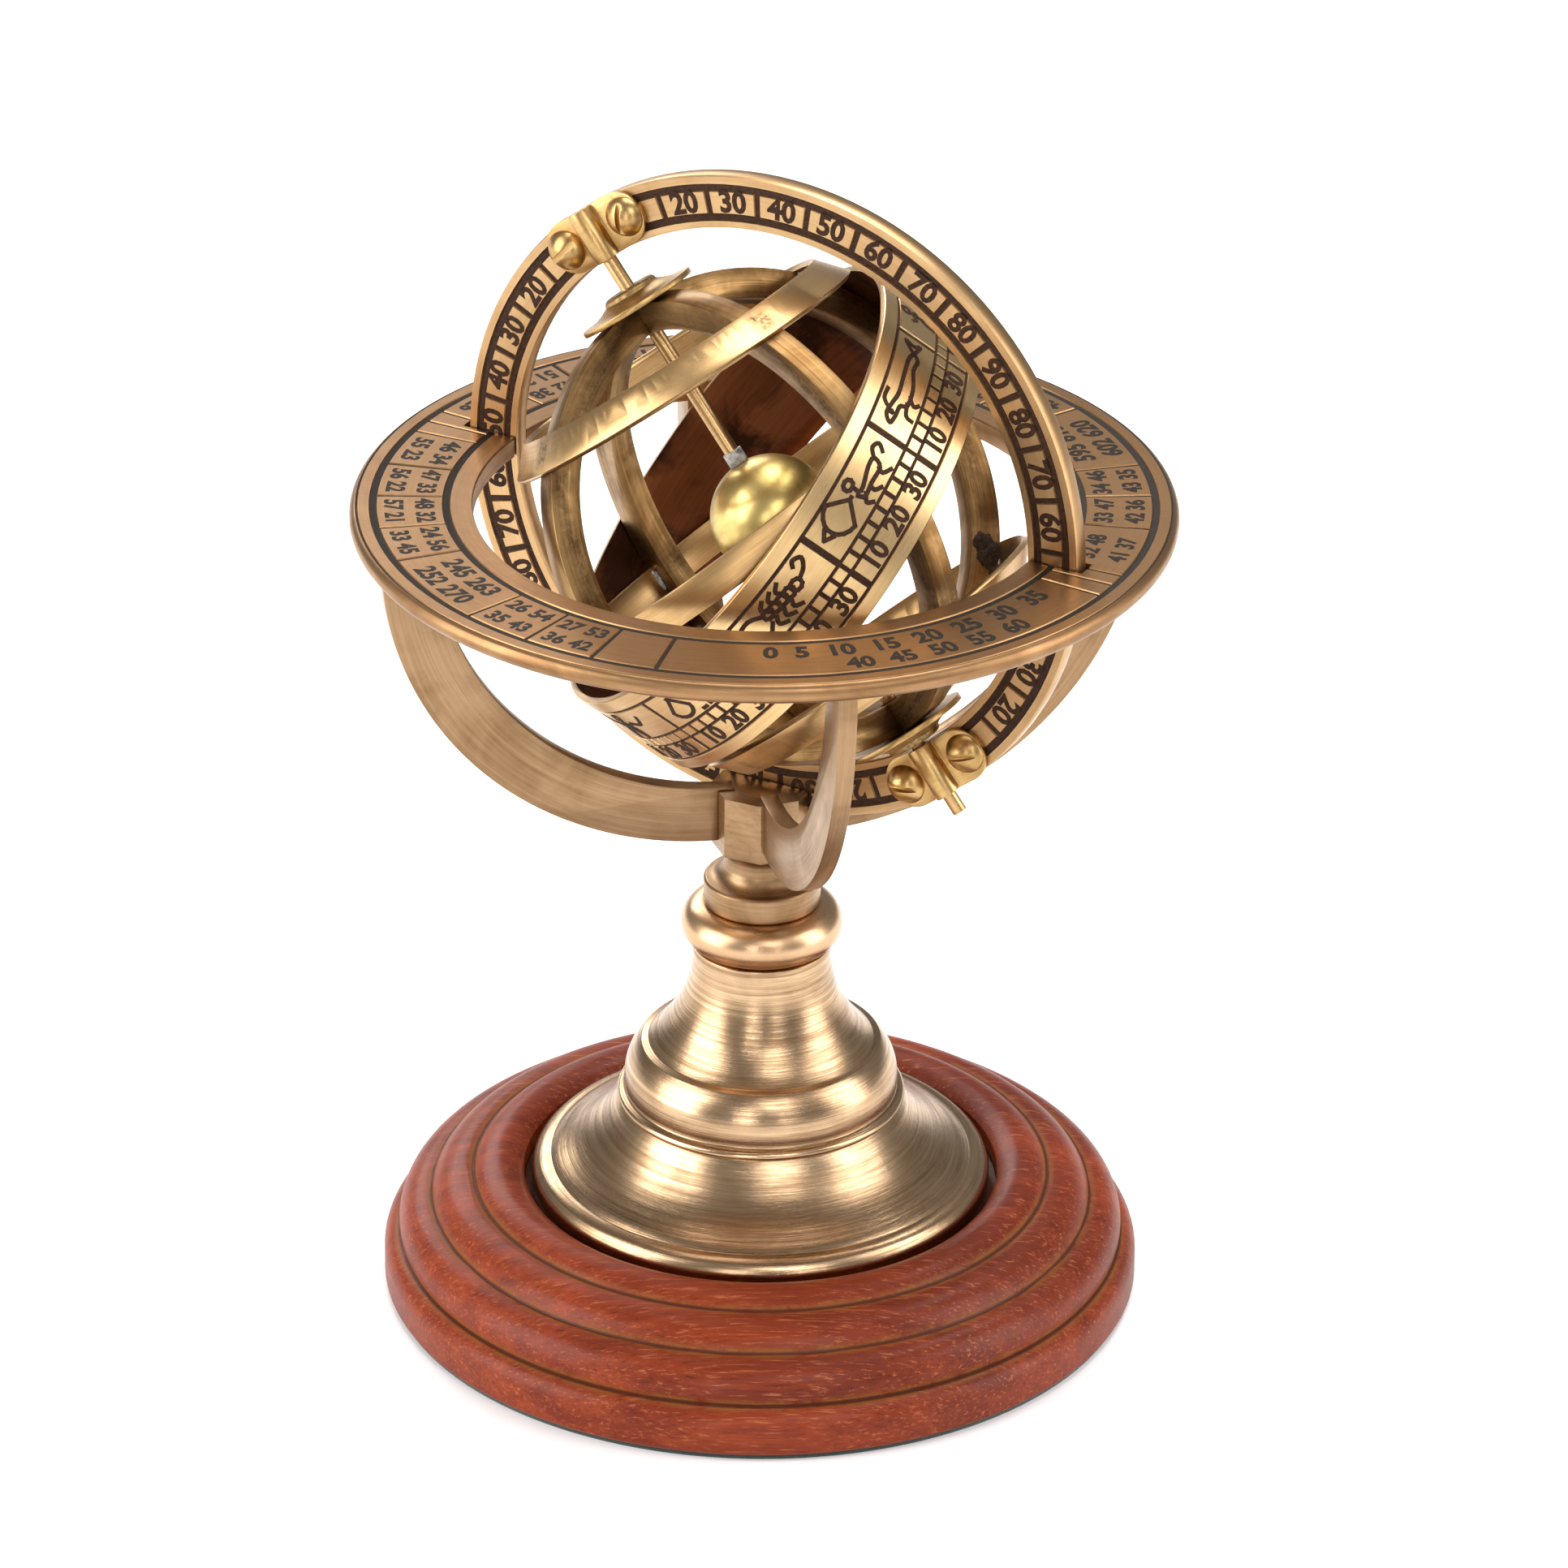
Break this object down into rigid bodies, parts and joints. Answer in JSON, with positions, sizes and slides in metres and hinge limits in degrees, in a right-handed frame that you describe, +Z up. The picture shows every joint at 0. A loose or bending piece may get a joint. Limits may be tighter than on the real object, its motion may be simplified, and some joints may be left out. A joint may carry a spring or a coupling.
{
  "type": "armillary sphere",
  "caption": "Desktop armillary sphere: a brass cage of circles that spins on a tilted rod, in a meridian ring that slides round in a level horizon ring on a turned wood base.",
  "frame": {"origin": "centre of the base's underside", "axes": "+Z up through the centre of the level ring; -Y is the viewer's side, the pole leans towards -X"},
  "size_m": [0.11, 0.11, 0.1626],
  "materials": {
    "mahogany": "satin lacquer",
    "felt": "matte felt",
    "spun_brass": "turned and brushed, lightly tarnished",
    "cast_brass": "filed and brushed",
    "plate_brass": "satin with etched lines filled dark",
    "screw_brass": "satin",
    "rod_brass": "drawn",
    "aged_brass": "brushed, heat-stained",
    "bright_brass": "bright satin",
    "solder": "dull silvery",
    "steel": "zinc plated"
  },
  "bodies": {
    "stand": {"wood_base": "mahogany", "base_felt": "felt", "pedestal": "spun_brass", "pedestal_collar": "spun_brass", "cradle_hub": "cast_brass", "arm_front": "cast_brass", "arm_right": "cast_brass", "arm_back": "cast_brass", "arm_left": "cast_brass", "horizon_ring": "plate_brass", "tie_stud": "steel", "tie_washer": "steel", "tie_nut": "steel"},
    "meridian": {"meridian_ring": "plate_brass", "north_strap": "screw_brass", "south_strap": "screw_brass", "north_strap_screws": "screw_brass", "south_strap_screws": "screw_brass", "axis_rod": "rod_brass", "earth_ball": "aged_brass", "ball_ferrule_north": "solder", "ball_ferrule_south": "solder"},
    "cage": {"equinoctial_colure": "aged_brass", "solstitial_colure_left": "aged_brass", "solstitial_colure_right": "aged_brass", "north_hoop": "bright_brass", "equator_hoop": "bright_brass", "south_hoop": "bright_brass", "zodiac_band": "bright_brass", "north_cap": "aged_brass", "south_cap": "aged_brass"}
  },
  "joints": [
    {"name": "meridian_turn", "type": "hinge", "parent": "stand", "child": "meridian", "pos_m": [0, 0, 0.1168], "axis": [-0.4772, -0.8788, 0], "range_deg": [-15, 36]},
    {"name": "cage_spin", "type": "hinge", "parent": "meridian", "child": "cage", "pos_m": [0, 0, 0.1168], "axis": [-0.5386, 0.2925, 0.7902], "continuous": true}
  ]
}
